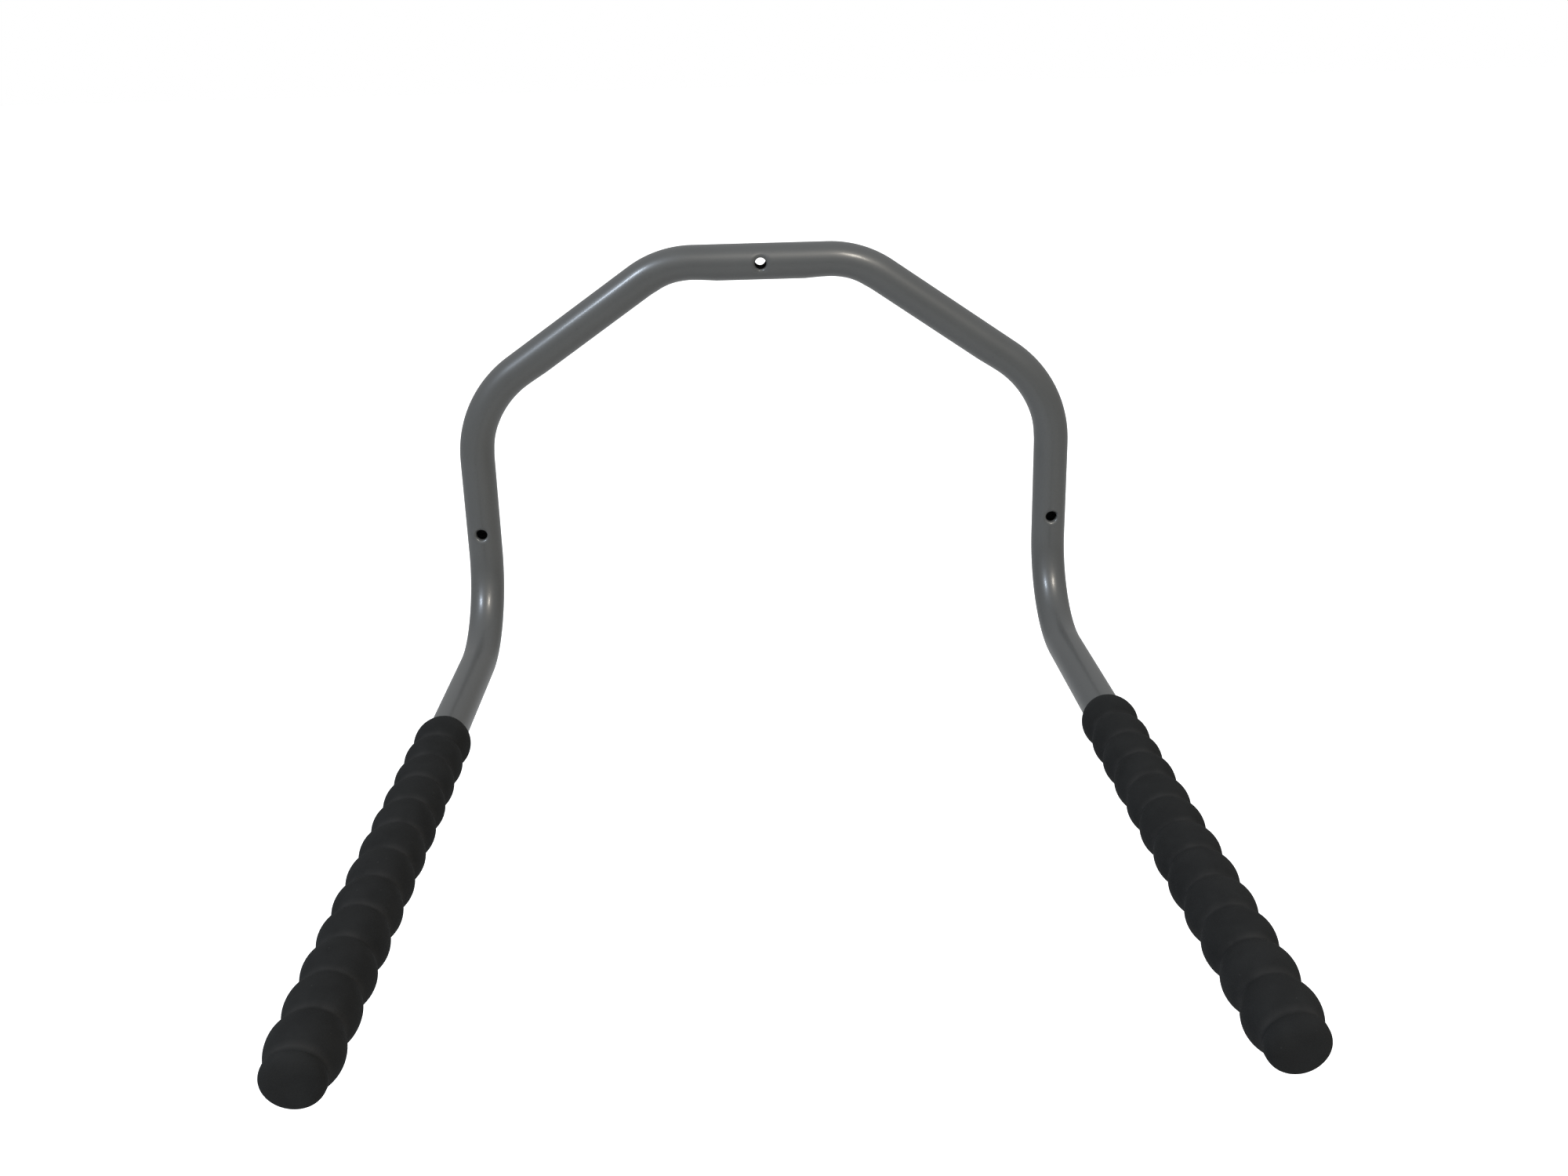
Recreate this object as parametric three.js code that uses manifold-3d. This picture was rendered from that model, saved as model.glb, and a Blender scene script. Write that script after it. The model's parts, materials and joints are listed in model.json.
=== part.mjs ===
// Two-arm wall hanger: one bent steel tube that is screwed flat to a wall through three
// pierced holes, with a beaded foam sleeve on each forward arm and a plastic plug in each tube end.
// Millimetres. +X right, +Y into the wall, +Z up. The origin is on the wall plane, on the axis of
// the top screw hole, and the arms point along -Y.
import * as THREE from 'three';
import { mergeVertices } from 'three/addons/utils/BufferGeometryUtils.js';
import Module from 'manifold-3d';

// Tube
const TUBE_DIAMETER = 25.4;
const TUBE_WALL = 1.5;
const TUBE_SIDES = 20;
const BEND_STEPS = 6;

// Centre line of the right half, from the middle of the top run
const TOP_CORNER_X = 70;
const SHOULDER_X = 215.5;
const SHOULDER_DROP = 98.5;
const FOOT_X = 220.5;
const FOOT_DROP = 282.5;
const ARM_RISE_DEGREES = 2.1;
const ARM_SPLAY_DEGREES = 0.12;
const TOP_BEND_RADIUS = 70;
const SHOULDER_BEND_RADIUS = 83;
const FOOT_BEND_RADIUS = 65;
const BEND_FLATTENING = 1.4;
const FORMER_SIDES = 48;

// Screw holes
const HOLE_DIAMETER = 8.2;
const HOLE_SIDES = 16;
const SIDE_HOLE_DROP = 197.5;
const DIMPLE_DIAMETER = 15.6;
const DIMPLE_DEPTH = 2.5;
const DIMPLE_SHOULDER_HEIGHT = 0.62 * DIMPLE_DEPTH;
const LAND_DEPTH = 0.8;
const LAND_LENGTH = 44;

// Foam sleeves. The left one is pushed on a little further.
const RIGHT_SLEEVE_START = 181.9;
const LEFT_SLEEVE_START = 178.5;
const SLEEVE_SIDES = 18;
const BEAD_COUNT = 12;
const BEAD_PITCH = 26.7;
const BEAD_DIAMETER = 36.3;
const VALLEY_DIAMETER = 28.6;
const BEAD_STEPS = 4;
const TIP_DIAMETER = 29.7;
const TIP_NECK = 2.8;
const TIP_DOME = 6.2;
const TIP_ROUNDNESS = 3.5;
const TIP_STEPS = 5;
const TIP_WALL = 5;

// End plugs
const PLUG_FLANGE_DIAMETER = 24.6;
const PLUG_FLANGE = 2;
const PLUG_LENGTH = 22;
const PLUG_WALL = 1.8;
const PLUG_RIBS = 3;
const PLUG_RIB_DEPTH = 0.8;
const PLUG_RIB_RISE = 0.45;
const PLUG_RIB_CREST = 0.6;
const PLUG_RIB_FALL = 0.75;
const PLUG_SIDES = 16;

// Clearance between pieces, and how far a cutting tool runs past what it cuts
const GAP = 0.3;
const OVERCUT = 0.1;
const TOOL_OVERRUN = 5;
const TOOL_LENGTH = TUBE_DIAMETER + 2 * TOOL_OVERRUN;
const WELD_DISTANCE = 1e-4;

const powderCoat = { color: 0x5d5f60, roughness: 0.42, metalness: 0 };
const blackFoam = { color: 0x242526, roughness: 0.95, metalness: 0 };
const plugPlastic = { color: 0x1b1b1c, roughness: 0.6, metalness: 0 };

const tubeRadius = TUBE_DIAMETER / 2;
const boreRadius = tubeRadius - TUBE_WALL;
const sleeveLength = BEAD_COUNT * BEAD_PITCH + TIP_NECK + TIP_DOME;
const sleeveBoreDepth = sleeveLength - TIP_WALL;
const tubeEnd = LEFT_SLEEVE_START + sleeveBoreDepth - PLUG_FLANGE - 2 * GAP;
const rise = THREE.MathUtils.degToRad(ARM_RISE_DEGREES);
const splay = THREE.MathUtils.degToRad(ARM_SPLAY_DEGREES);
const armDirection = new THREE.Vector3(Math.sin(splay), -Math.cos(splay), 0);
armDirection.multiplyScalar(Math.cos(rise)).setZ(Math.sin(rise));
const footCorner = new THREE.Vector3(FOOT_X, -tubeRadius, -FOOT_DROP);

const wasm = await Module();
wasm.setup();

// A closed geometry with shared vertices and no collapsed triangles.
function weld(geometry) {
  const bare = geometry.clone();
  bare.deleteAttribute('normal');
  bare.deleteAttribute('uv');
  const merged = mergeVertices(bare, WELD_DISTANCE);
  const index = merged.index.array;
  const kept = [];
  for (let i = 0; i < index.length; i += 3) {
    const [a, b, c] = [index[i], index[i + 1], index[i + 2]];
    if (a !== b && b !== c && c !== a) kept.push(a, b, c);
  }
  merged.setIndex(kept);
  return merged;
}

function solidOf(geometry) {
  const welded = weld(geometry);
  const vertProperties = Float32Array.from(welded.attributes.position.array);
  const triVerts = Uint32Array.from(welded.index.array);
  return new wasm.Manifold(new wasm.Mesh({ numProp: 3, vertProperties, triVerts }));
}

function geometryOf(solid) {
  const mesh = solid.getMesh();
  const geometry = new THREE.BufferGeometry();
  geometry.setAttribute('position', new THREE.BufferAttribute(mesh.vertProperties, 3));
  geometry.setIndex(new THREE.BufferAttribute(mesh.triVerts, 1));
  geometry.computeVertexNormals();
  return geometry;
}

// The same geometry on the other side of the X = 0 plane, with its faces still pointing out.
function mirrored(geometry) {
  const other = geometry.clone().scale(-1, 1, 1);
  const flat = other.index ? other : weld(other);
  const index = Array.from(flat.index.array);
  for (let i = 0; i < index.length; i += 3) {
    [index[i], index[i + 1]] = [index[i + 1], index[i]];
  }
  flat.setIndex(index);
  return flat;
}

function turnTo(geometry, from, to) {
  return geometry.applyQuaternion(new THREE.Quaternion().setFromUnitVectors(from, to));
}

// Where a centre line rounds one of its corners.
function bendAt(before, corner, after, radius) {
  const into = corner.clone().sub(before).normalize();
  const out = after.clone().sub(corner).normalize();
  const angle = into.angleTo(out);
  const setback = radius * Math.tan(angle / 2);
  const start = corner.clone().addScaledVector(into, -setback);
  const inward = out.clone().addScaledVector(into, -out.dot(into)).normalize();
  const centre = start.clone().addScaledVector(inward, radius);
  const axis = new THREE.Vector3().crossVectors(into, out).normalize();
  return { into, inward, angle, radius, start, centre, axis };
}

// A bent centre line that an extrusion follows one ring at a time: a single step along each
// straight stretch, and equal steps round each bend.
class BentLine extends THREE.Curve {
  constructor(first, bends, last) {
    super();
    this.rings = [{ point: first, tangent: bends[0].into }];
    for (const bend of bends) this.addBend(bend);
    this.rings.push({ point: last, tangent: this.rings.at(-1).tangent });
  }

  addBend({ into, inward, angle, radius, centre }) {
    for (let i = 0; i <= BEND_STEPS; i += 1) {
      const turn = (angle * i) / BEND_STEPS;
      const tangent = into.clone().multiplyScalar(Math.cos(turn)).addScaledVector(inward, Math.sin(turn));
      const spoke = into.clone().multiplyScalar(Math.sin(turn)).addScaledVector(inward, -Math.cos(turn));
      this.rings.push({ point: centre.clone().addScaledVector(spoke, radius), tangent });
    }
  }

  ringAt(t) {
    return this.rings[Math.round(t * (this.rings.length - 1))];
  }

  getPointAt(t, target = new THREE.Vector3()) {
    return target.copy(this.ringAt(t).point);
  }

  getTangentAt(t, target = new THREE.Vector3()) {
    return target.copy(this.ringAt(t).tangent);
  }
}

// The corners and bends of the right half of the tube, from the middle of the top run.
const middle = new THREE.Vector3(0, -tubeRadius, 0);
const topCorner = new THREE.Vector3(TOP_CORNER_X, -tubeRadius, 0);
const shoulder = new THREE.Vector3(SHOULDER_X, -tubeRadius, -SHOULDER_DROP);
const armTip = footCorner.clone().addScaledVector(armDirection, tubeEnd);
const bends = [
  bendAt(middle, topCorner, shoulder, TOP_BEND_RADIUS),
  bendAt(topCorner, shoulder, footCorner, SHOULDER_BEND_RADIUS),
  bendAt(shoulder, footCorner, armTip, FOOT_BEND_RADIUS),
];
const sideHoleAlong = (SIDE_HOLE_DROP - SHOULDER_DROP) / (FOOT_DROP - SHOULDER_DROP);
const sideHole = shoulder.clone().lerp(footCorner, sideHoleAlong);
const sideRun = footCorner.clone().sub(shoulder).normalize();

// A round bar along the right half, which runs on past the arm's end by overrun.
function halfBar(radius, overrun) {
  const section = new THREE.Shape();
  for (let i = 0; i < TUBE_SIDES; i += 1) {
    const angle = (2 * Math.PI * i) / TUBE_SIDES;
    const x = radius * Math.cos(angle);
    const y = radius * Math.sin(angle);
    if (i === 0) section.moveTo(x, y);
    else section.lineTo(x, y);
  }
  section.closePath();
  const end = armTip.clone().addScaledVector(armDirection, overrun);
  const line = new BentLine(middle, bends, end);
  return new THREE.ExtrudeGeometry(section, {
    steps: line.rings.length - 1,
    extrudePath: line,
    bevelEnabled: false,
  });
}

// What a bending former presses away on the inner side of a bend.
function formerDisc({ centre, radius, axis }, allowance) {
  const size = radius - tubeRadius + BEND_FLATTENING + allowance;
  const disc = new THREE.CylinderGeometry(size, size, TOOL_LENGTH, FORMER_SIDES);
  turnTo(disc, new THREE.Vector3(0, 1, 0), axis);
  return disc.translate(centre.x, centre.y, centre.z);
}

// The flat that the piercing anvil leaves on the wall side, along a run of the tube.
function landBlock(hole, run, allowance) {
  const depth = LAND_DEPTH + allowance;
  const block = new THREE.BoxGeometry(LAND_LENGTH + 2 * allowance, 2 * depth, TUBE_DIAMETER);
  turnTo(block, new THREE.Vector3(1, 0, 0), run);
  return block.translate(hole.x, 0, hole.z);
}

// The drawn-in rim of a pierced hole on the front or the wall side.
function dimple(hole, side, allowance) {
  const outer = DIMPLE_DIAMETER / 2 + allowance;
  const inner = HOLE_DIAMETER / 2 + allowance;
  const surface = tubeRadius - (side > 0 ? LAND_DEPTH : 0);
  const floor = surface - DIMPLE_DEPTH - allowance;
  const profile = [
    new THREE.Vector2(0, floor),
    new THREE.Vector2(inner, floor),
    new THREE.Vector2((inner + outer) / 2, floor + DIMPLE_SHOULDER_HEIGHT),
    new THREE.Vector2(outer, surface - allowance + OVERCUT),
    new THREE.Vector2(outer, tubeRadius + TOOL_OVERRUN),
    new THREE.Vector2(0, tubeRadius + TOOL_OVERRUN),
  ];
  const cup = new THREE.LatheGeometry(profile, HOLE_SIDES);
  if (side < 0) cup.rotateX(Math.PI);
  return cup.translate(hole.x, -tubeRadius, hole.z);
}

function holeDrill(hole) {
  const radius = HOLE_DIAMETER / 2;
  const drill = new THREE.CylinderGeometry(radius, radius, TOOL_LENGTH, HOLE_SIDES);
  return drill.translate(hole.x, -tubeRadius, hole.z);
}

// A round bar along the whole tube, with everything that is pressed into its surface.
// The allowance is the wall thickness for the hollow and zero for the outside.
function pressedBar(allowance, overrun) {
  const half = halfBar(tubeRadius - allowance, overrun);
  let bar = solidOf(half).add(solidOf(mirrored(weld(half))));
  const leftHole = sideHole.clone().setX(-sideHole.x);
  const leftRun = sideRun.clone().setX(-sideRun.x);
  const stations = [
    { hole: middle, run: new THREE.Vector3(1, 0, 0) },
    { hole: sideHole, run: sideRun },
    { hole: leftHole, run: leftRun },
  ];
  const tools = [];
  for (const { hole, run } of stations) {
    tools.push(landBlock(hole, run, allowance));
    tools.push(dimple(hole, 1, allowance));
    tools.push(dimple(hole, -1, allowance));
  }
  for (const bend of bends) {
    const disc = weld(formerDisc(bend, allowance));
    tools.push(disc);
    tools.push(mirrored(disc));
  }
  for (const tool of tools) bar = bar.subtract(solidOf(tool));
  for (const { hole } of allowance ? [] : stations) bar = bar.subtract(solidOf(holeDrill(hole)));
  return bar;
}

function tubeFrame() {
  const outside = pressedBar(0, 0);
  const hollow = pressedBar(TUBE_WALL, TOOL_OVERRUN);
  return geometryOf(outside.subtract(hollow));
}

// Turned pieces are drawn up the Y axis and then laid along an arm, starting at a distance from
// the foot corner.
function layAlongArm(geometry, distance) {
  turnTo(geometry, new THREE.Vector3(0, 1, 0), armDirection);
  const start = footCorner.clone().addScaledVector(armDirection, distance);
  return geometry.translate(start.x, start.y, start.z);
}

// Beads with a round outline that meet in sharp valleys, then a blunt domed tip, then the bore.
function foamSleeve(start) {
  const valley = VALLEY_DIAMETER / 2;
  const height = (BEAD_DIAMETER - VALLEY_DIAMETER) / 2;
  const halfPitch = BEAD_PITCH / 2;
  const arc = (halfPitch ** 2 + height ** 2) / (2 * height);
  const bore = tubeRadius + GAP;
  const profile = [new THREE.Vector2(0, sleeveBoreDepth)];
  profile.push(new THREE.Vector2(bore, sleeveBoreDepth));
  profile.push(new THREE.Vector2(bore, 0));
  profile.push(new THREE.Vector2(valley, 0));
  for (let i = 1; i <= BEAD_COUNT * BEAD_STEPS; i += 1) {
    const along = (i * BEAD_PITCH) / BEAD_STEPS;
    const fromCrest = ((i % BEAD_STEPS) / BEAD_STEPS) * BEAD_PITCH - halfPitch;
    const bulge = Math.sqrt(arc ** 2 - fromCrest ** 2) - (arc - height);
    profile.push(new THREE.Vector2(valley + Math.max(bulge, 0), along));
  }
  const domeStart = BEAD_COUNT * BEAD_PITCH + TIP_NECK;
  for (let i = 0; i < TIP_STEPS; i += 1) {
    const turn = (i * Math.PI) / 2 / TIP_STEPS;
    const radius = (TIP_DIAMETER / 2) * Math.cos(turn) ** (2 / TIP_ROUNDNESS);
    const along = domeStart + TIP_DOME * Math.sin(turn) ** (2 / TIP_ROUNDNESS);
    profile.push(new THREE.Vector2(radius, along));
  }
  profile.push(new THREE.Vector2(0, sleeveLength));
  const turned = new THREE.LatheGeometry(profile, SLEEVE_SIDES);
  return layAlongArm(weld(turned), start);
}

// A cup-shaped insert with ribs round its barrel and a flange over the cut end of the tube.
function endPlug() {
  const ribRadius = boreRadius - GAP;
  const barrel = ribRadius - PLUG_RIB_DEPTH;
  const cup = barrel - PLUG_WALL;
  const pitch = PLUG_LENGTH / PLUG_RIBS;
  const profile = [new THREE.Vector2(0, -PLUG_WALL), new THREE.Vector2(cup, -PLUG_WALL)];
  profile.push(new THREE.Vector2(cup, -PLUG_LENGTH));
  for (let i = PLUG_RIBS; i > 0; i -= 1) {
    const low = -i * pitch;
    profile.push(new THREE.Vector2(barrel, low));
    profile.push(new THREE.Vector2(ribRadius, low + PLUG_RIB_RISE * pitch));
    profile.push(new THREE.Vector2(ribRadius, low + PLUG_RIB_CREST * pitch));
    profile.push(new THREE.Vector2(barrel, low + PLUG_RIB_FALL * pitch));
  }
  profile.push(new THREE.Vector2(barrel, GAP));
  profile.push(new THREE.Vector2(PLUG_FLANGE_DIAMETER / 2, GAP));
  profile.push(new THREE.Vector2(PLUG_FLANGE_DIAMETER / 2, GAP + PLUG_FLANGE));
  profile.push(new THREE.Vector2(0, GAP + PLUG_FLANGE));
  const turned = new THREE.LatheGeometry(profile, PLUG_SIDES);
  return layAlongArm(weld(turned), tubeEnd);
}

function part(name, geometry, finish) {
  const mesh = new THREE.Mesh(geometry, new THREE.MeshStandardMaterial(finish));
  mesh.name = name;
  return mesh;
}

const rightSleeve = foamSleeve(RIGHT_SLEEVE_START);
const leftSleeve = mirrored(foamSleeve(LEFT_SLEEVE_START));
const plug = endPlug();
const hanger = new THREE.Group();
hanger.add(
  part('tube_frame', tubeFrame(), powderCoat),
  part('right_foam_sleeve', rightSleeve, blackFoam),
  part('left_foam_sleeve', leftSleeve, blackFoam),
  part('right_tube_plug', plug, plugPlastic),
  part('left_tube_plug', mirrored(plug), plugPlastic),
);

export default hanger;
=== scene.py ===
"""A two-arm wall hanger for bicycles: one bent, pierced and powder-coated steel tube with a beaded
foam sleeve on each arm. Metres, in the part's frame: +X right, +Y into the wall, +Z up, with the
origin on the wall plane on the axis of the top screw hole."""
import json
import math

import bpy
import numpy as np
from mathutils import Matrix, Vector, noise


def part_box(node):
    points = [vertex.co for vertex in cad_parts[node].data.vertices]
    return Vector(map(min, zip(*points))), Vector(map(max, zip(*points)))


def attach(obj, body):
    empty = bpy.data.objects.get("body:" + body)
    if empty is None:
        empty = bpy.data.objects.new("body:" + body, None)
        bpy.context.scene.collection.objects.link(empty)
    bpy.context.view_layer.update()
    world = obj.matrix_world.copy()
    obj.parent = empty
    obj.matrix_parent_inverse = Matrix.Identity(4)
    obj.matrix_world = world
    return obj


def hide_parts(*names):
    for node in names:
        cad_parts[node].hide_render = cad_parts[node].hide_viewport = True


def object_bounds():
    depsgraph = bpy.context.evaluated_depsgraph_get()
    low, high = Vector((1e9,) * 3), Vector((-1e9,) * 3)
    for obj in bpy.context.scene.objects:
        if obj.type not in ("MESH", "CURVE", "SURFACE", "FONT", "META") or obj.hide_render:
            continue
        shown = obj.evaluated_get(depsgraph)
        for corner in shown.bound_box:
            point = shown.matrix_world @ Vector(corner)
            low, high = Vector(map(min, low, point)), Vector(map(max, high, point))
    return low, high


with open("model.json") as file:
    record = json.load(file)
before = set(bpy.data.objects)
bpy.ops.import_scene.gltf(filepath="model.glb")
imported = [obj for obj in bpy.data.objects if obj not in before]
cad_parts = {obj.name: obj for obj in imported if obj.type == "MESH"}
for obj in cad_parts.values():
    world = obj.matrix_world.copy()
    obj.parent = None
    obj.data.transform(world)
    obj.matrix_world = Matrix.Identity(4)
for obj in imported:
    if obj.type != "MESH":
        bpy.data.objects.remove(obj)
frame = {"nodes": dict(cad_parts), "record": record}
cad_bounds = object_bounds()

# Tube, as drawn: the corners of its centre line and the radius of each bend.
TUBE_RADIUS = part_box("tube_frame")[1].z
TUBE_WALL = 0.0015
TOP_CORNER_X = 0.070
SHOULDER_X = 0.2155
SHOULDER_DROP = 0.0985
FOOT_X = 0.2205
FOOT_DROP = 0.2825
ARM_RISE = math.radians(2.1)
ARM_SPLAY = math.radians(0.12)
TUBE_END = 0.5003
TOP_BEND_RADIUS = 0.070
SHOULDER_BEND_RADIUS = 0.083
FOOT_BEND_RADIUS = 0.065

# How finely the tube is drawn.
TUBE_SIDES = 96
CELL = 2 * math.pi * TUBE_RADIUS / TUBE_SIDES
BEND_PITCH = 0.0028
RUN_PITCH = 0.0120
ARM_PITCH = 0.0480
KINK_REACH = 3 * TUBE_RADIUS
TUBE_SHARP_ANGLE = 50

# The drawn-in screw holes: rings of the grid that become the rim, the dimple and its surround.
HOLE_RADIUS = 0.0041
DIMPLE_RADIUS = 0.0078
DIMPLE_DEPTH = 0.0025
COLLAR_DEPTH = 0.0011
RIM_RING = 5
DIMPLE_RING = 11
LAST_RING = 18
INSIDE_RIM = 0.97

# What the tools press into the tube: the dent starts before a bend and stops before its end.
TOP_DENT_DEPTH = 0.0010
LOWER_DENT_DEPTH = 0.0006
DENT_LEAD = 0.017
DENT_TAIL = 0.008
DENT_RISE = 0.020
DENT_REACH = 1.5 * TUBE_RADIUS
ANVIL_DEPTH = 0.0008
ANVIL_LENGTH = 0.044

# Foam sleeves, measured along the arm from the foot corner.
RIGHT_SLEEVE_START = 0.1819
LEFT_SLEEVE_START = 0.1785
SLEEVE_SIDES = 120
BEAD_COUNT = 12
BEAD_PITCH = 0.0267
BEAD_RADIUS = 0.01815
BEAD_ROOT = 0.0138
VALLEY_HALF_WIDTH = 0.0008
BEAD_STEPS = 16
LIP_RADIUS = 0.0145
LIP_LENGTH = 0.0016
LIP_GROOVE = 0.0142
LIP_TURNS = (10, 25, 45, 65, 90, 120, 150, 180)
TIP_RADIUS = 0.01520
TIP_GROOVE = 0.0137
TIP_NECK = 0.0028
RIGHT_TIP_DOME = 0.0080
LEFT_TIP_DOME = 0.0062
TIP_ROUNDNESS = 3.5
TIP_STEPS = 16
TIP_WALL = 0.005
FOAM_GRIP = 0.00005
FOAM_SHARP_ANGLE = 50
FOAM_SEAM = 0.00002
BORE_SKIN = 0.0005
FOAM_SWELL = 0.00022
FOAM_SWELL_SIZE = 0.016
# Painted highlight on the foam: where along each bead, and behind the lip, the skin is painted
# paler as if catching the light.
PAINTED_HIGHLIGHT_START = 0.87
PAINTED_HIGHLIGHT_FULL = 0.98
LIP_PAINTED_HIGHLIGHT = 0.0030
FIRST_PAINTED_HIGHLIGHT = 0.2
LAST_PAINTED_HIGHLIGHT = 0.03

INTO_WALL = Vector((0, 1, 0))
arm_direction = Vector((
    math.sin(ARM_SPLAY) * math.cos(ARM_RISE),
    -math.cos(ARM_SPLAY) * math.cos(ARM_RISE),
    math.sin(ARM_RISE),
))
foot_corner = Vector((FOOT_X, -TUBE_RADIUS, -FOOT_DROP))
beside_arm = arm_direction.cross(Vector((0, 0, 1))).normalized() * -1
beads_length = BEAD_COUNT * BEAD_PITCH


# ---------------------------------------------------------------- working by hand

def start_clean():
    if bpy.context.mode != "OBJECT":
        bpy.ops.object.mode_set(mode="OBJECT")
    bpy.ops.object.select_all(action="DESELECT")


def take(piece):
    start_clean()
    piece.select_set(True)
    bpy.context.view_layer.objects.active = piece


def edit(piece, mode):
    take(piece)
    bpy.ops.object.mode_set(mode="EDIT")
    bpy.ops.mesh.select_mode(type=mode)
    bpy.ops.mesh.select_all(action="DESELECT")


def settle(piece, name):
    """The piece's place goes into its mesh and its object to the origin."""
    take(piece)
    bpy.ops.object.transform_apply(location=True, rotation=True, scale=True)
    piece.name = name
    piece.data.name = name
    return piece


def extrude(offset):
    bpy.ops.mesh.extrude_region_move(TRANSFORM_OT_translate={"value": offset})


def extrude_run(start, end, pitch):
    steps = max(1, round((end - start).length / pitch))
    for _ in range(steps):
        extrude((end - start) / steps)


def spin(centre, axis, angle, steps):
    """Turns what is selected about the axis, right-handed, and leaves the last copy selected."""
    bpy.ops.mesh.spin(steps=steps, angle=-angle, center=centre, axis=axis)


def close_up(piece, reach):
    """Merges the seam and the poles, then turns every face outwards."""
    edit(piece, "VERT")
    bpy.ops.mesh.select_all(action="SELECT")
    bpy.ops.mesh.remove_doubles(threshold=reach)
    bpy.ops.mesh.normals_make_consistent(inside=False)
    bpy.ops.object.mode_set(mode="OBJECT")


def apply(piece, kind, **settings):
    take(piece)
    modifier = piece.modifiers.new(kind.title(), kind)
    for setting, value in settings.items():
        setattr(modifier, setting, value)
    bpy.ops.object.modifier_apply(modifier=modifier.name)


def read_points(piece):
    points = np.empty(len(piece.data.vertices) * 3)
    piece.data.vertices.foreach_get("co", points)
    return points.reshape(-1, 3)


def write_points(piece, points):
    piece.data.vertices.foreach_set("co", points.ravel())
    piece.data.update()


def smooth(piece, degrees):
    take(piece)
    bpy.ops.object.shade_smooth_by_angle(angle=math.radians(degrees))


def ease(t):
    t = np.clip(t, 0, 1)
    return t * t * (3 - 2 * t)


def at_least(value, floor, softness):
    """The larger of the two, with a rounded meeting."""
    return (value + floor + np.sqrt((value - floor) ** 2 + softness**2)) / 2


# ---------------------------------------------------------------- the tube's centre line

class Bend:
    """Where the centre line rounds one of its corners."""

    def __init__(self, before, corner, after, radius):
        into = (corner - before).normalized()
        out = (after - corner).normalized()
        self.into = into
        self.angle = into.angle(out)
        setback = radius * math.tan(self.angle / 2)
        self.start = corner - into * setback
        self.end = corner + out * setback
        inward = (out - into * out.dot(into)).normalized()
        self.centre = self.start + inward * radius
        self.axis = into.cross(out).normalized()
        self.inward = inward
        self.radius = radius


middle = Vector((0, -TUBE_RADIUS, 0))
top_corner = Vector((TOP_CORNER_X, -TUBE_RADIUS, 0))
shoulder = Vector((SHOULDER_X, -TUBE_RADIUS, -SHOULDER_DROP))
arm_tip = foot_corner + arm_direction * TUBE_END
top_bend = Bend(middle, top_corner, shoulder, TOP_BEND_RADIUS)
shoulder_bend = Bend(top_corner, shoulder, foot_corner, SHOULDER_BEND_RADIUS)
foot_bend = Bend(shoulder, foot_corner, arm_tip, FOOT_BEND_RADIUS)
side_run = (foot_corner - shoulder).normalized()


def screw_axis(name):
    """The middle of a screw's way through the tube, on the tube's centre line."""
    for way in frame["record"]["physics"]["openings"]:
        if way["name"] == name:
            low, high = way["box_m"]
            return Vector(((low[0] + high[0]) / 2, -TUBE_RADIUS, (low[2] + high[2]) / 2))


top_hole = screw_axis("top_screw_way")
side_hole = screw_axis("right_screw_way")


# ---------------------------------------------------------------- the bent tube

def draw_half_tube():
    """A ring at the middle of the top run, drawn out along the right half of the centre line."""
    start_clean()
    bpy.ops.mesh.primitive_circle_add(
        vertices=TUBE_SIDES, radius=TUBE_RADIUS, location=middle, rotation=(0, math.pi / 2, 0)
    )
    tube = settle(bpy.context.object, "bent_tube")
    edit(tube, "VERT")
    bpy.ops.mesh.select_all(action="SELECT")
    fine = LAST_RING * CELL
    hole_edge = side_hole - side_run * fine
    past_hole = side_hole + side_run * fine
    extrude_run(middle, middle + Vector((fine, 0, 0)), CELL)
    extrude_run(middle + Vector((fine, 0, 0)), top_bend.start, BEND_PITCH)
    bend_ring(top_bend)
    slope_in, slope_out = near_ends(top_bend.end, shoulder_bend.start)
    extrude_run(top_bend.end, slope_in, BEND_PITCH)
    extrude_run(slope_in, slope_out, RUN_PITCH)
    extrude_run(slope_out, shoulder_bend.start, BEND_PITCH)
    bend_ring(shoulder_bend)
    extrude_run(shoulder_bend.end, hole_edge, BEND_PITCH)
    extrude_run(hole_edge, past_hole, CELL)
    extrude_run(past_hole, foot_bend.start, BEND_PITCH)
    bend_ring(foot_bend)
    root, _ = near_ends(foot_bend.end, arm_tip)
    extrude_run(foot_bend.end, root, BEND_PITCH)
    extrude_run(root, arm_tip, ARM_PITCH)
    bpy.ops.object.mode_set(mode="OBJECT")
    return tube


def bend_ring(bend):
    steps = round(bend.angle * bend.radius / BEND_PITCH)
    spin(bend.centre, bend.axis, bend.angle, steps)


def near_ends(start, end):
    """Two points a little way in from the ends of a straight run, past the kinks of its bends."""
    reach = (end - start).normalized() * KINK_REACH
    return start + reach, end - reach


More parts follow.
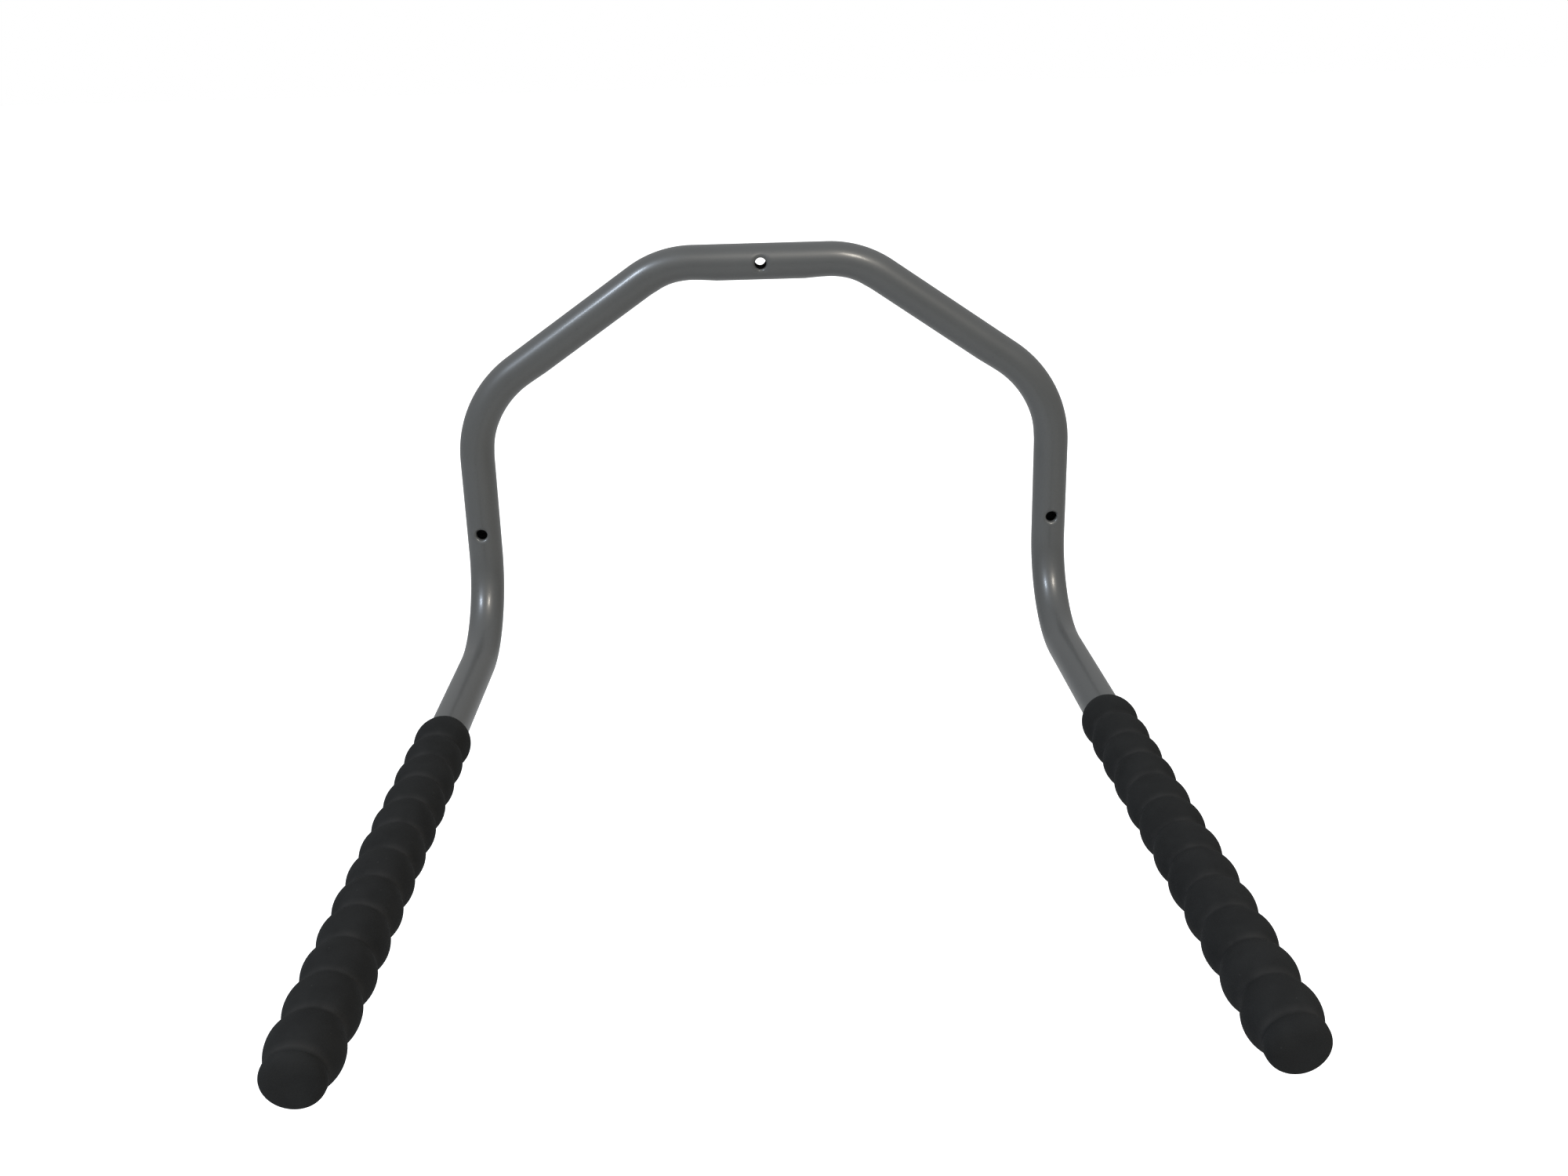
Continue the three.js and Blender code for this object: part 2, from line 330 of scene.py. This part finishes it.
def round_the_hole(points, hole, run, side):
    """Pulls the grid round a hole into rings, and draws the inner rings in as a dimple.
    side is -1 at the front and 1 at the wall."""
    across = run.cross(INTO_WALL)
    offset = points - np.array(hole)
    along = offset @ np.array(run)
    beside = offset @ np.array(across)
    outward = offset[:, 1] * side
    turn = np.arctan2(beside, outward)
    column = np.rint(along / CELL)
    row = np.rint(turn * TUBE_SIDES / (2 * math.pi))
    ring = np.maximum(np.abs(column), np.abs(row))
    near = (ring <= LAST_RING) & (np.abs(along) <= (LAST_RING + 0.5) * CELL) & (outward > 0)
    column, row, ring = column[near], row[near], ring[near]
    wide = np.abs(column) >= np.abs(row)
    major = np.where(wide, column, row)
    minor = np.where(wide, row, column)
    swing = np.where(major == 0, 0, math.pi / 4 * minor / np.where(major == 0, 1, major))
    radius, depth = dimple_profile(ring)
    long_way = np.sign(major) * radius * np.cos(swing)
    short_way = np.sign(major) * radius * np.sin(swing)
    round_along = np.where(wide, long_way, short_way)
    round_beside = np.where(wide, short_way, long_way)
    square = ease((ring - DIMPLE_RING) / (LAST_RING - DIMPLE_RING))
    new_along = round_along + (along[near] - round_along) * square
    new_beside = round_beside + (beside[near] - round_beside) * square
    height = np.sqrt(TUBE_RADIUS**2 - new_beside**2) - depth
    points[near] = (
        np.array(hole)
        + new_along[:, None] * np.array(run)
        + new_beside[:, None] * np.array(across)
        + (side * height)[:, None] * np.array(INTO_WALL)
    )


def dimple_profile(ring):
    """How far each ring of the grid lies from the hole's axis, and how deep: a rounded funnel."""
    inside = ring / RIM_RING * HOLE_RADIUS
    lap = np.clip((DIMPLE_RING - ring) / (DIMPLE_RING - RIM_RING), 0, 1) * math.pi / 2
    funnel = DIMPLE_RADIUS - (DIMPLE_RADIUS - HOLE_RADIUS) * np.sin(lap)
    outside = DIMPLE_RADIUS + (ring - DIMPLE_RING) * CELL
    radius = np.where(ring < RIM_RING, inside, np.where(ring <= DIMPLE_RING, funnel, outside))
    return radius, DIMPLE_DEPTH * (1 - np.cos(lap))


def press_with_former(points, bend, depth):
    """The bending former squashes the inner half of the tube a little, from before the bend to
    before its end, with a faint kink where it starts and stops."""
    offset = points - np.array(bend.centre)
    ahead = offset @ np.array(bend.into)
    outward = -(offset @ np.array(bend.inward))
    turn = np.clip(np.arctan2(ahead, outward), 0, bend.angle)
    inward, into = np.array(bend.inward), np.array(bend.into)
    spoke = np.outer(np.cos(turn), -inward) + np.outer(np.sin(turn), into)
    tangent = np.outer(np.sin(turn), inward) + np.outer(np.cos(turn), into)
    beyond = np.einsum("ij,ij->i", offset, tangent)
    inside = bend.radius - np.einsum("ij,ij->i", offset, spoke)
    along = turn * bend.radius + np.where((turn > 0) & (turn < bend.angle), 0, beyond)
    from_start = np.clip((along + DENT_LEAD) / DENT_RISE, 0, 1)
    from_end = np.clip((bend.angle * bend.radius - DENT_TAIL - along) / DENT_RISE, 0, 1)
    dent = depth * np.sin(from_start * math.pi / 2) * np.sin(from_end * math.pi / 2)
    aside = np.abs(offset @ np.array(bend.axis))
    pressed = (inside > 0) & (inside < DENT_REACH) & (aside < DENT_REACH)
    push = np.where(pressed, inside * dent / TUBE_RADIUS, 0)
    points += spoke * push[:, None]


def press_on_anvil(points, hole, run):
    """The piercing anvil leaves a short flat on the wall side, behind a hole."""
    offset = points - np.array(hole)
    along = np.abs(offset @ np.array(run))
    near_end = ease((ANVIL_LENGTH / 2 - along) / (2 * ANVIL_DEPTH))
    on_line = np.linalg.norm(offset, axis=1) < ANVIL_LENGTH
    flat = -at_least(-points[:, 1], ANVIL_DEPTH, ANVIL_DEPTH / 3)
    points[on_line, 1] += ((flat - points[:, 1]) * near_end)[on_line]


def pierce(tube, hole, side):
    """Opens the middle of a dimple and draws its rim on into a short collar."""
    edit(tube, "FACE")
    bpy.ops.object.mode_set(mode="OBJECT")
    for face in tube.data.polygons:
        offset = face.center - hole
        from_axis = math.hypot(offset.x, offset.z)
        face.select = from_axis < INSIDE_RIM * HOLE_RADIUS and offset.y * side > 0
    bpy.ops.object.mode_set(mode="EDIT")
    bpy.ops.mesh.delete(type="FACE")
    bpy.ops.mesh.select_mode(type="EDGE")
    bpy.ops.mesh.select_non_manifold(extend=False, use_wire=False, use_multi_face=False)
    bpy.ops.object.mode_set(mode="OBJECT")
    for edge in tube.data.edges:
        if edge.select:
            ends = [tube.data.vertices[v].co - hole for v in edge.vertices]
            edge.select = all(
                math.hypot(end.x, end.z) < DIMPLE_RADIUS and end.y * side > 0 for end in ends
            )
    for vertex in tube.data.vertices:
        vertex.select = False
    for edge in tube.data.edges:
        if edge.select:
            for v in edge.vertices:
                tube.data.vertices[v].select = True
    bpy.ops.object.mode_set(mode="EDIT")
    extrude(INTO_WALL * (-side * COLLAR_DEPTH / 2))
    extrude(INTO_WALL * (-side * COLLAR_DEPTH / 2))
    bpy.ops.object.mode_set(mode="OBJECT")


def make_tube():
    tube = draw_half_tube()
    points = read_points(tube)
    for hole, run in ((top_hole, Vector((1, 0, 0))), (side_hole, side_run)):
        for side in (-1, 1):
            round_the_hole(points, hole, run, side)
        press_on_anvil(points, hole, run)
    press_with_former(points, top_bend, TOP_DENT_DEPTH)
    press_with_former(points, shoulder_bend, LOWER_DENT_DEPTH)
    press_with_former(points, foot_bend, LOWER_DENT_DEPTH)
    write_points(tube, points)
    apply(tube, "MIRROR", merge_threshold=CELL / 20)
    close_up(tube, CELL / 50)
    left_hole = Vector((-side_hole.x, side_hole.y, side_hole.z))
    for hole in (top_hole, side_hole, left_hole):
        for side in (-1, 1):
            pierce(tube, hole, side)
    apply(tube, "SOLIDIFY", thickness=TUBE_WALL, offset=-1, use_even_offset=True)
    smooth(tube, TUBE_SHARP_ANGLE)
    return tube


# ---------------------------------------------------------------- the foam sleeves

def along_arm(distance, radius):
    """A point beside the right arm's axis, a distance on from the foot corner."""
    return foot_corner + arm_direction * distance + beside_arm * radius


def draw_sleeve_profile(start, tip_dome):
    """Half of the sleeve's section, drawn from the floor of its bore round to its tip."""
    bore = TUBE_RADIUS + FOAM_GRIP
    floor = start + beads_length + TIP_NECK + tip_dome - TIP_WALL
    start_clean()
    bpy.ops.mesh.primitive_plane_add(size=bore, location=along_arm(floor, 0))
    profile = settle(bpy.context.object, "foam_sleeve")
    edit(profile, "VERT")
    bpy.ops.mesh.select_all(action="SELECT")
    bpy.ops.mesh.merge(type="CENTER")
    extrude(along_arm(floor, bore) - along_arm(floor, 0))
    extrude(along_arm(start, bore) - along_arm(floor, bore))
    here = draw_lip(start, along_arm(start, bore))
    reach = BEAD_PITCH / 2 - VALLEY_HALF_WIDTH
    for bead in range(BEAD_COUNT):
        crest = start + (bead + 0.5) * BEAD_PITCH
        here = draw_bead(crest, here, reach - LIP_LENGTH if bead == 0 else reach, reach)
    draw_tip(start + beads_length, tip_dome, here)
    return profile


def draw_bead(crest, here, before, after):
    """One arc over a crest, from a distance before it to a distance after it."""
    height = BEAD_RADIUS - BEAD_ROOT
    arc = ((BEAD_PITCH / 2) ** 2 + height**2) / (2 * height)
    low = BEAD_RADIUS - arc
    first = along_arm(crest - before, low + math.sqrt(arc**2 - before**2))
    extrude(first - here)
    swing = math.asin(before / arc) + math.asin(after / arc)
    spin(along_arm(crest, low), beside_arm.cross(arm_direction), swing, BEAD_STEPS)
    return along_arm(crest + after, low + math.sqrt(arc**2 - after**2))


def draw_lip(start, here):
    """A rolled lip hugs the tube, and a groove parts it from the first bead."""
    bore = TUBE_RADIUS + FOAM_GRIP
    for degrees in LIP_TURNS:
        turn = math.radians(degrees)
        if degrees <= 90:
            radius = bore + (LIP_RADIUS - bore) * math.sqrt(math.sin(turn))
        else:
            radius = LIP_GROOVE + (LIP_RADIUS - LIP_GROOVE) * math.sin(turn)
        there = along_arm(start + LIP_LENGTH / 2 * (1 - math.cos(turn)), radius)
        extrude(there - here)
        here = there
    return here


def draw_tip(start, dome, here):
    """A groove, and then a blunt end with a flat face and a full round edge."""
    groove = along_arm(start + TIP_NECK / 3, TIP_GROOVE)
    extrude(groove - here)
    here = groove
    for step in range(TIP_STEPS + 1):
        turn = step / TIP_STEPS * math.pi / 2
        radius = TIP_RADIUS * math.cos(turn) ** (2 / TIP_ROUNDNESS) if step < TIP_STEPS else 0
        rise = dome * math.sin(turn) ** (2 / TIP_ROUNDNESS)
        there = along_arm(start + TIP_NECK + rise, radius)
        extrude(there - here)
        here = there


def make_sleeve(start, tip_dome):
    sleeve = draw_sleeve_profile(start, tip_dome)
    bpy.ops.mesh.select_all(action="SELECT")
    spin(foot_corner, arm_direction, 2 * math.pi, SLEEVE_SIDES)
    bpy.ops.object.mode_set(mode="OBJECT")
    close_up(sleeve, FOAM_SEAM)
    return sleeve


def finish_sleeve(sleeve, name, side, start):
    """The soft foam swells a little unevenly, and a painted highlight is marked where the skin is
    painted paler
    as if lit: on each bead's side towards the tip, down into the valley, and just behind the lip."""
    settle(sleeve, name)
    points = read_points(sleeve)
    corner = np.array(foot_corner) * (side, 1, 1)
    axis = np.array(arm_direction) * (side, 1, 1)
    offset = points - corner
    along = offset @ axis
    spoke = offset - np.outer(along, axis)
    radius = np.linalg.norm(spoke, axis=1)
    outside = radius > TUBE_RADIUS + BORE_SKIN
    swell = np.array([noise.noise(Vector(point) / FOAM_SWELL_SIZE) for point in points])
    push = np.where(outside, swell * FOAM_SWELL, 0) / np.maximum(radius, TUBE_RADIUS)
    points += spoke * push[:, None]
    write_points(sleeve, points)
    # Painted highlight: a paler band painted where light catches the foam, on each bead's flank
    # towards the tip, into the valley, and on the band behind the lip.
    beads = (along - start) / BEAD_PITCH
    phase = beads - np.floor(beads)
    towards_tip = ease((phase - PAINTED_HIGHLIGHT_START) / (PAINTED_HIGHLIGHT_FULL - PAINTED_HIGHLIGHT_START))
    past_valley = ease(1 - phase / (2 * VALLEY_HALF_WIDTH / BEAD_PITCH))
    on_beads = (beads > FIRST_PAINTED_HIGHLIGHT) & (beads < BEAD_COUNT + LAST_PAINTED_HIGHLIGHT)
    lip = np.where(along - start < LIP_PAINTED_HIGHLIGHT, ease((along - start) / LIP_LENGTH), 0)
    painted_highlight = np.where(on_beads, np.maximum(towards_tip, past_valley), lip)
    sleeve.data.attributes.new("painted_highlight", "FLOAT", "POINT").data.foreach_set("value", painted_highlight)


# ---------------------------------------------------------------- finishes

def new_group(name, inputs, outputs):
    """An empty node group with named sockets, and its input and output nodes."""
    group = bpy.data.node_groups.new(name, "ShaderNodeTree")
    for socket, kind, value in inputs:
        item = group.interface.new_socket(socket, in_out="INPUT", socket_type=kind)
        if value is not None:
            item.default_value = value
    for socket, kind in outputs:
        group.interface.new_socket(socket, in_out="OUTPUT", socket_type=kind)
    given = group.nodes.new("NodeGroupInput").outputs
    result = group.nodes.new("NodeGroupOutput").inputs
    return group, given, result


def place(tree, kind, settings=None, **values):
    """Adds a node. A value may be a number, a colour or another node's output."""
    node = tree.nodes.new(kind)
    for setting, value in (settings or {}).items():
        setattr(node, setting, value)
    for socket, value in values.items():
        feed(tree, node.inputs[socket.replace("_", " ")], value)
    return node


def feed(tree, socket, value):
    """Links another node's output into a socket, or sets the socket's own value."""
    if isinstance(value, bpy.types.NodeSocket):
        tree.links.new(value, socket)
    else:
        socket.default_value = value


def calculate(tree, kind, first, second, third=None):
    """One Math node."""
    node = tree.nodes.new("ShaderNodeMath")
    node.operation = kind
    for socket, value in zip(node.inputs, (first, second, third)):
        if value is not None:
            feed(tree, socket, value)
    return node.outputs[0]


def stretch(tree, value, low, high, to_low, to_high):
    node = place(tree, "ShaderNodeMapRange", Value=value)
    names = ("From Min", "From Max", "To Min", "To Max")
    for socket, number in zip(names, (low, high, to_low, to_high)):
        feed(tree, node.inputs[socket], number)
    return node.outputs[0]


def blend_colour(tree, factor, first, second, kind="MIX"):
    node = tree.nodes.new("ShaderNodeMix")
    node.data_type = "RGBA"
    node.blend_type = kind
    colours = [socket for socket in node.inputs if socket.type == "RGBA"]
    feed(tree, node.inputs["Factor"], factor)
    feed(tree, colours[0], first)
    feed(tree, colours[1], second)
    return next(socket for socket in node.outputs if socket.type == "RGBA")


def make_mottle():
    """Uneven tone: wide soft patches and a fine grain over them."""
    group, given, result = new_group(
        "mottle",
        [("Position", "NodeSocketVector", None), ("Patch Scale", "NodeSocketFloat", 30),
         ("Grain Scale", "NodeSocketFloat", 900), ("Patch Spread", "NodeSocketFloat", 0.1),
         ("Grain Spread", "NodeSocketFloat", 0.1)],
        [("Tone", "NodeSocketFloat"), ("Patches", "NodeSocketFloat"), ("Grain", "NodeSocketFloat")],
    )
    patches = place(group, "ShaderNodeTexNoise", Vector=given["Position"],
                    Scale=given["Patch Scale"], Detail=3.0, Roughness=0.55).outputs[0]
    grain = place(group, "ShaderNodeTexNoise", Vector=given["Position"],
                  Scale=given["Grain Scale"], Detail=3.0, Roughness=0.6).outputs[0]
    wide = calculate(group, "MULTIPLY", calculate(group, "SUBTRACT", patches, 0.5),
                     given["Patch Spread"])
    fine = calculate(group, "MULTIPLY", calculate(group, "SUBTRACT", grain, 0.5),
                     given["Grain Spread"])
    tone = calculate(group, "ADD", calculate(group, "MULTIPLY_ADD", wide, 2.0, 1.0),
                  calculate(group, "MULTIPLY", fine, 2.0))
    group.links.new(tone, result["Tone"])
    group.links.new(patches, result["Patches"])
    group.links.new(grain, result["Grain"])
    return group


def make_specks():
    """Sparse small marks, such as nibs in a coating or dust on foam: 1 on a mark, 0 elsewhere."""
    group, given, result = new_group(
        "specks",
        [("Position", "NodeSocketVector", None), ("Scale", "NodeSocketFloat", 200),
         ("Size", "NodeSocketFloat", 0.1), ("Share", "NodeSocketFloat", 0.1)],
        [("Marks", "NodeSocketFloat")],
    )
    cells = place(group, "ShaderNodeTexVoronoi", Vector=given["Position"], Scale=given["Scale"])
    near = calculate(group, "LESS_THAN", cells.outputs["Distance"], given["Size"])
    pick = place(group, "ShaderNodeSeparateColor", Color=cells.outputs["Color"]).outputs[0]
    picked = calculate(group, "LESS_THAN", pick, given["Share"])
    group.links.new(calculate(group, "MULTIPLY", near, picked), result["Marks"])
    return group


def use(tree, group, **values):
    node = tree.nodes.new("ShaderNodeGroup")
    node.node_tree = group
    for socket, value in values.items():
        feed(tree, node.inputs[socket.replace("_", " ")], value)
    return node.outputs


def principled(name, roughness=None, specular=0.5):
    material = bpy.data.materials.new(name)
    material.use_nodes = True
    tree = material.node_tree
    shader = tree.nodes["Principled BSDF"]
    shader.inputs["Specular IOR Level"].default_value = specular
    if roughness is not None:
        shader.inputs["Roughness"].default_value = roughness
    return material, tree, shader, place(tree, "ShaderNodeTexCoord").outputs["Object"]


def dress(piece, material):
    piece.data.materials.clear()
    piece.data.materials.append(material)


def powder_coat(mottle, specks):
    """Satin grey powder coat: orange peel, faint drift of tone and gloss, and a few dark nibs."""
    material, tree, shader, place_on_piece = principled("grey_powder_coat", specular=0.5)
    coat = use(tree, mottle, Position=place_on_piece, Patch_Scale=16.0, Grain_Scale=520.0,
               Patch_Spread=0.10, Grain_Spread=0.05)
    nibs = use(tree, specks, Position=place_on_piece, Scale=120.0, Size=0.07, Share=0.12)["Marks"]
    grey = blend_colour(tree, 1.0, (0.061, 0.0625, 0.0615, 1), coat["Tone"], "MULTIPLY")
    faint = calculate(tree, "MULTIPLY", nibs, 0.5)
    feed(tree, shader.inputs["Base Color"], blend_colour(tree, faint, grey, (0.03, 0.03, 0.032, 1)))
    feed(tree, shader.inputs["Roughness"], stretch(tree, coat["Patches"], 0.3, 0.7, 0.36, 0.44))
    shader.inputs["Coat Weight"].default_value = 0.27
    shader.inputs["Coat Roughness"].default_value = 0.18
    peel = place(tree, "ShaderNodeBump", Strength=1.0, Distance=0.00002, Height=coat["Grain"])
    feed(tree, shader.inputs["Normal"], peel.outputs[0])
    return material


def charcoal_foam(mottle, specks):
    """Matte closed-cell foam: fine pores, blotchy tone, and a painted highlight, paler towards the
    valleys.
    """
    material, tree, shader, place_on_piece = principled("charcoal_foam", specular=0.14)
    foam = use(tree, mottle, Position=place_on_piece, Patch_Scale=70.0, Grain_Scale=1100.0,
               Patch_Spread=0.4, Grain_Spread=0.30)
    lint = use(tree, specks, Position=place_on_piece, Scale=260.0, Size=0.09, Share=0.10)["Marks"]
    # Painted highlight: the foam colour is mixed towards a paler grey where the mask marks light
    # catching the beads.
    painted_highlight = place(tree, "ShaderNodeAttribute", {"attribute_name": "painted_highlight"}).outputs["Fac"]
    black = blend_colour(tree, 1.0, (0.0111, 0.0116, 0.0116, 1), foam["Tone"], "MULTIPLY")
    shown = calculate(tree, "MULTIPLY", painted_highlight, stretch(tree, foam["Patches"], 0.38, 0.62, 0.3, 1.0))
    skin_with_painted_highlight = blend_colour(tree, shown, black, (0.0200, 0.0200, 0.0197, 1))
    faint = calculate(tree, "MULTIPLY", lint, 0.35)
    linty = blend_colour(tree, faint, skin_with_painted_highlight, (0.040, 0.040, 0.039, 1))
    feed(tree, shader.inputs["Base Color"], linty)
    feed(tree, shader.inputs["Roughness"], stretch(tree, foam["Grain"], 0.3, 0.7, 0.85, 0.98))
    pores = place(tree, "ShaderNodeTexVoronoi", Vector=place_on_piece, Scale=1500.0)
    height = calculate(tree, "ADD", pores.outputs["Distance"], foam["Grain"])
    pitted = place(tree, "ShaderNodeBump", Strength=1.0, Distance=0.00009, Height=height)
    feed(tree, shader.inputs["Normal"], pitted.outputs[0])
    return material


def plug_plastic(mottle):
    """Black moulded polyethylene with a faint uneven sheen."""
    material, tree, shader, place_on_piece = principled("black_plug_plastic", specular=0.4)
    plastic = use(tree, mottle, Position=place_on_piece, Patch_Scale=80.0, Grain_Scale=700.0,
                  Patch_Spread=0.15, Grain_Spread=0.1)
    black = blend_colour(tree, 1.0, (0.012, 0.012, 0.013, 1), plastic["Tone"], "MULTIPLY")
    feed(tree, shader.inputs["Base Color"], black)
    feed(tree, shader.inputs["Roughness"], stretch(tree, plastic["Patches"], 0.3, 0.7, 0.42, 0.58))
    grain = place(tree, "ShaderNodeBump", Strength=1.0, Distance=0.00004, Height=plastic["Grain"])
    feed(tree, shader.inputs["Normal"], grain.outputs[0])
    return material


# ---------------------------------------------------------------- studio

CAMERA_PLACE = (-0.01244, -0.96670, 0.15750)
CAMERA_TURN = (66.647, 1.253, -1.973)
CAMERA_LENS = 30.195
LAMP_TARGET = Vector((0, -0.1, -0.15))
LAMP_DISTANCE = 3
LAMP_WIDTH = 0.45
LAMP_HEIGHT = 0.60
FLOOR_DROP = 0.9
FLOOR_SIZE = 60


def make_camera():
    data = bpy.data.cameras.new("camera")
    data.sensor_width = 36
    data.lens = CAMERA_LENS
    camera = bpy.data.objects.new("camera", data)
    camera.location = CAMERA_PLACE
    camera.rotation_euler = [math.radians(a) for a in CAMERA_TURN]
    bpy.context.scene.collection.objects.link(camera)
    bpy.context.scene.camera = camera


def make_lamp(name, direction, power, colour):
    data = bpy.data.lights.new(name, "AREA")
    data.shape = "RECTANGLE"
    data.size = LAMP_WIDTH
    data.size_y = LAMP_HEIGHT
    data.energy = power
    data.color = colour
    lamp = bpy.data.objects.new(name, data)
    lamp.location = LAMP_TARGET + Vector(direction) * LAMP_DISTANCE
    lamp.rotation_euler = (-Vector(direction)).to_track_quat("-Z", "Y").to_euler()
    bpy.context.scene.collection.objects.link(lamp)


def make_room():
    """Soft even light, cooler from above, in front of plain white."""
    world = bpy.data.worlds.new("pale_room")
    bpy.context.scene.world = world
    world.use_nodes = True
    tree = world.node_tree
    tree.nodes.clear()
    direction = place(tree, "ShaderNodeTexCoord").outputs["Generated"]
    up = place(tree, "ShaderNodeSeparateXYZ", Vector=direction).outputs["Z"]
    ceiling = stretch(tree, up, 0.0, 0.7, 0.0, 1.0)
    tint = blend_colour(tree, ceiling, (0.40, 0.405, 0.40, 1), (0.56, 0.57, 0.585, 1))
    soft = place(tree, "ShaderNodeBackground", Color=tint)
    white = place(tree, "ShaderNodeBackground", Color=(1, 1, 1, 1))
    seen = place(tree, "ShaderNodeLightPath").outputs["Is Camera Ray"]
    mix = tree.nodes.new("ShaderNodeMixShader")
    output = tree.nodes.new("ShaderNodeOutputWorld")
    for source, socket in ((seen, 0), (soft.outputs[0], 1), (white.outputs[0], 2)):
        tree.links.new(source, mix.inputs[socket])
    tree.links.new(mix.outputs[0], output.inputs[0])


def make_floor():
    """A plain pale floor, bright enough to be seen as white."""
    start_clean()
    bpy.ops.mesh.primitive_plane_add(size=FLOOR_SIZE, location=(0, 0, cad_bounds[0].z - FLOOR_DROP))
    floor = settle(bpy.context.object, "floor")
    material, tree, shader, _ = principled("white_floor", roughness=0.9, specular=0.1)
    shader.inputs["Base Color"].default_value = (0.75, 0.75, 0.74, 1)
    shader.inputs["Emission Color"].default_value = (1, 1, 1, 1)
    seen = place(tree, "ShaderNodeLightPath").outputs["Is Camera Ray"]
    feed(tree, shader.inputs["Emission Strength"], seen)
    dress(floor, material)


bpy.context.scene.view_settings.view_transform = "Standard"
make_camera()
make_lamp("cool_window", (-0.60, -0.50, 0.68), 60, (0.76, 0.86, 1.0))
make_lamp("warm_lamp", (0.30, -0.61, 0.73), 50, (1.0, 0.93, 0.82))
make_room()
make_floor()

tube = make_tube()
right_sleeve = make_sleeve(RIGHT_SLEEVE_START, RIGHT_TIP_DOME)
left_sleeve = make_sleeve(LEFT_SLEEVE_START, LEFT_TIP_DOME)
left_sleeve.scale.x = -1
settle(left_sleeve, "left_sleeve")
close_up(left_sleeve, FOAM_SEAM)
finish_sleeve(right_sleeve, "right_sleeve", 1, RIGHT_SLEEVE_START)
finish_sleeve(left_sleeve, "left_sleeve", -1, LEFT_SLEEVE_START)

mottle = make_mottle()
specks = make_specks()
coat = powder_coat(mottle, specks)
foam = charcoal_foam(mottle, specks)
plastic = plug_plastic(mottle)
dress(tube, coat)
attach(tube, "root")
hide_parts("tube_frame")
for side, sleeve in (("right", right_sleeve), ("left", left_sleeve)):
    smooth(sleeve, FOAM_SHARP_ANGLE)
    dress(sleeve, foam)
    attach(sleeve, "root")
    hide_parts(f"{side}_foam_sleeve")
    dress(frame["nodes"][f"{side}_tube_plug"], plastic)
